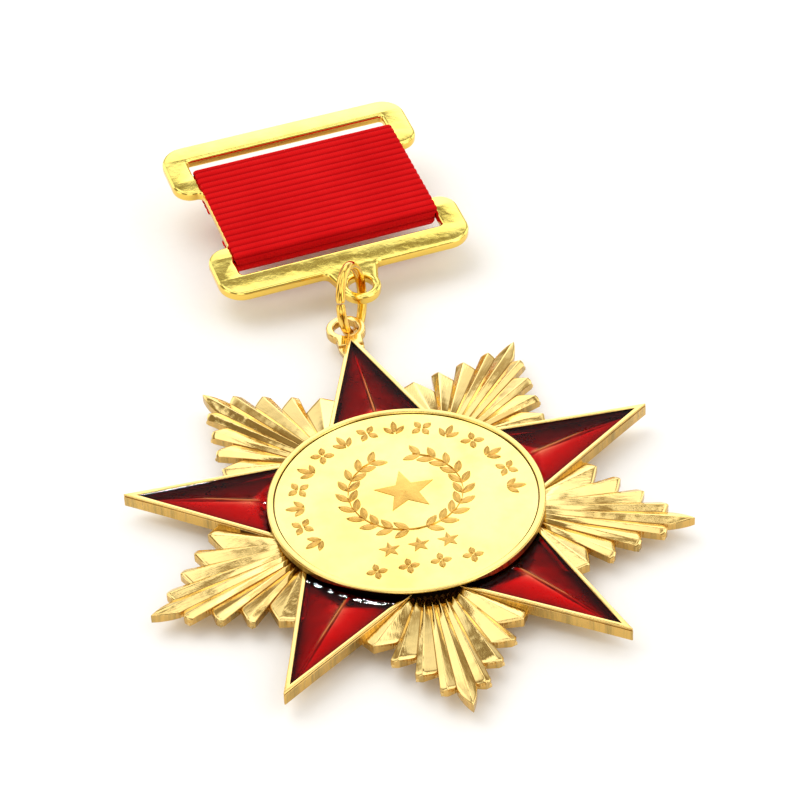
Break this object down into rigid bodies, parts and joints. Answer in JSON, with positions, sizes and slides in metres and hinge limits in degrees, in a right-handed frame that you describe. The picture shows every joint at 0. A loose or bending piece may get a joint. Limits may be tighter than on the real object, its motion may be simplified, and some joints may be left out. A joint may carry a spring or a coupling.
{
  "type": "service medal",
  "caption": "Five-armed enamelled star with ray fans and a round centre disc, hung by a ring from a ribbon bar with a brooch pin.",
  "frame": {"origin": "centre of the star on its flat back face", "axes": "+Z out of the medal's face, +Y from the star towards the ribbon bar, +X to the wearer's left as seen from the front (to the right of the picture)"},
  "size_m": [0.0666, 0.1147, 0.0101],
  "materials": {
    "bar_gold": "polished pale gold plate",
    "star_gold": "polished and brushed gold plate",
    "disc_gold": "satin gold plate",
    "ring_gold": "polished deep gold plate",
    "pin_gold": "satin gold plate",
    "needle_steel": "bright nickel-plated wire",
    "enamel_red": "glossy translucent red enamel over a ridged floor",
    "ribbon_red": "ribbed woven red ribbon"
  },
  "bodies": {
    "ribbon_bar": {"suspension_bar": "bar_gold", "ribbon": "ribbon_red", "pin_base": "pin_gold", "hinge_rivet": "pin_gold"},
    "needle": {"pin_needle": "needle_steel"},
    "catch": {"catch_rotor": "pin_gold"},
    "ring": {"jump_ring": "ring_gold"},
    "star": {"star_body": "star_gold", "center_disc": "disc_gold", "enamel_1": "enamel_red", "enamel_2": "enamel_red", "enamel_3": "enamel_red", "enamel_4": "enamel_red", "enamel_5": "enamel_red"}
  },
  "joints": [
    {"name": "needle_hinge", "type": "hinge", "parent": "ribbon_bar", "child": "needle", "pos_m": [-0.01009, 0.06135, 0.00172], "axis": [-0.1314, 0.985, 0.1115], "range_deg": [0, 80]},
    {"name": "catch_turn", "type": "hinge", "parent": "ribbon_bar", "child": "catch", "pos_m": [0.01112, 0.06418, 0.00172], "axis": [-0.9912, -0.1323, 0], "range_deg": [0, 100]},
    {"name": "star_tilt", "type": "hinge", "parent": "ribbon_bar", "child": "ring", "pos_m": [0.00242, 0.04151, 0.00225], "axis": [0.8882, -0.4332, 0.153], "range_deg": [-20, 80]},
    {"name": "star_swing", "type": "hinge", "parent": "ring", "child": "star", "pos_m": [0, 0.03715, 0.0006], "axis": [0, 0, 1], "range_deg": [-60, 60]}
  ]
}
